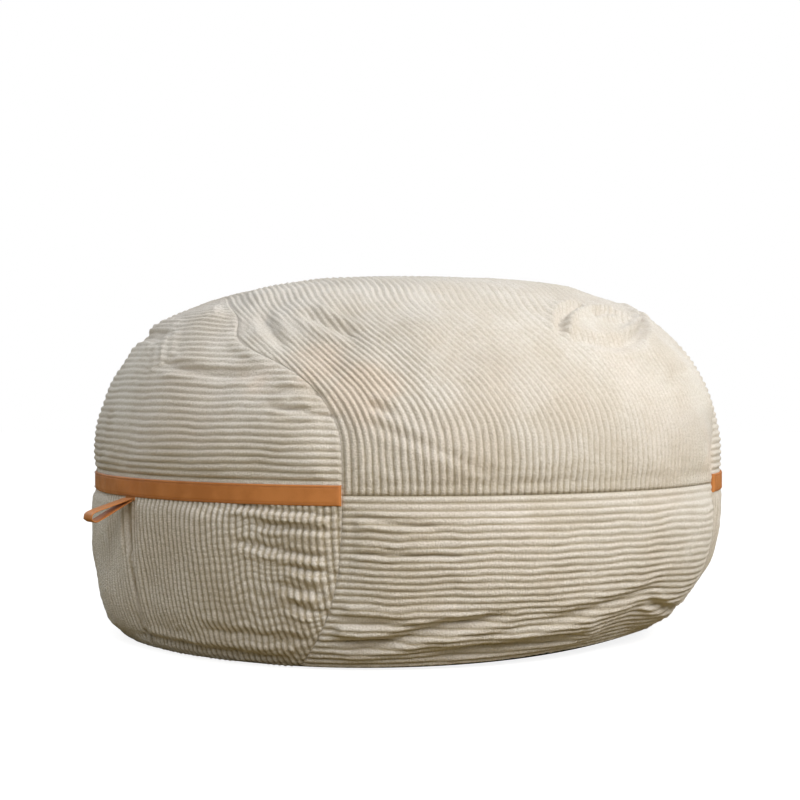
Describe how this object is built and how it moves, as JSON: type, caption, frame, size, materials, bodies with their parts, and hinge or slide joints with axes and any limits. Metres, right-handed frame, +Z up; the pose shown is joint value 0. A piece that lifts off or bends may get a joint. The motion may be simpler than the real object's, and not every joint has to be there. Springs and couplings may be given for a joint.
{
  "type": "bean bag chair",
  "caption": "Low round foam-filled seat with a jumbo corduroy cover, a tan band at the waist seam, a folded strap handle and a zip in its dark underside.",
  "frame": {"origin": "centre of the flat underside, on the floor", "axes": "+Z up; -Y faces the viewer of the front, where the left band ends beside the front right panel; +X to that viewer's right"},
  "size_m": [1.2258, 1.2214, 0.684],
  "materials": {
    "corduroy": "matte",
    "tan_band": "satin",
    "base_cloth": "matte",
    "liner_cloth": "matte",
    "closure_tape": "matte",
    "foam": "matte",
    "zip_tape": "matte",
    "zip_coil": "matte",
    "zip_metal": "satin"
  },
  "bodies": {
    "cover": {"crown_strip": "corduroy", "upper_panel_left": "corduroy", "upper_panel_right": "corduroy", "lower_panel_front_right": "corduroy", "lower_panel_rear_left": "corduroy", "lower_panel_front": "corduroy", "lower_panel_left": "corduroy", "lower_panel_rear": "corduroy", "lower_panel_right": "corduroy", "band_left": "tan_band", "band_right": "tan_band", "handle_tab": "tan_band", "base_panel_front": "base_cloth", "base_panel_rear": "base_cloth", "liner_upper": "liner_cloth", "liner_lower": "liner_cloth", "liner_closure": "closure_tape", "foam_fill": "foam", "zip_tape_front": "zip_tape", "zip_tape_rear": "zip_tape", "zip_coil_front": "zip_coil", "zip_coil_rear": "zip_coil", "zip_stops": "zip_metal"},
    "handle": {"handle_loop": "tan_band"},
    "slider": {"zip_slider": "zip_metal"},
    "pull": {"zip_pull": "zip_metal"}
  },
  "joints": [
    {"name": "handle_fold", "type": "hinge", "parent": "cover", "child": "handle", "pos_m": [-0.49949, -0.3629, 0.272], "axis": [-0.5878, 0.809, 0], "range_deg": [-50, 70]},
    {"name": "zip_travel", "type": "slide", "parent": "cover", "child": "slider", "axis": [1, 0, 0], "range_m": [0, 0.69]},
    {"name": "pull_swing", "type": "hinge", "parent": "slider", "child": "pull", "pos_m": [-0.356, 0, 0.0038], "axis": [0, 1, 0], "range_deg": [-10, 168]}
  ]
}
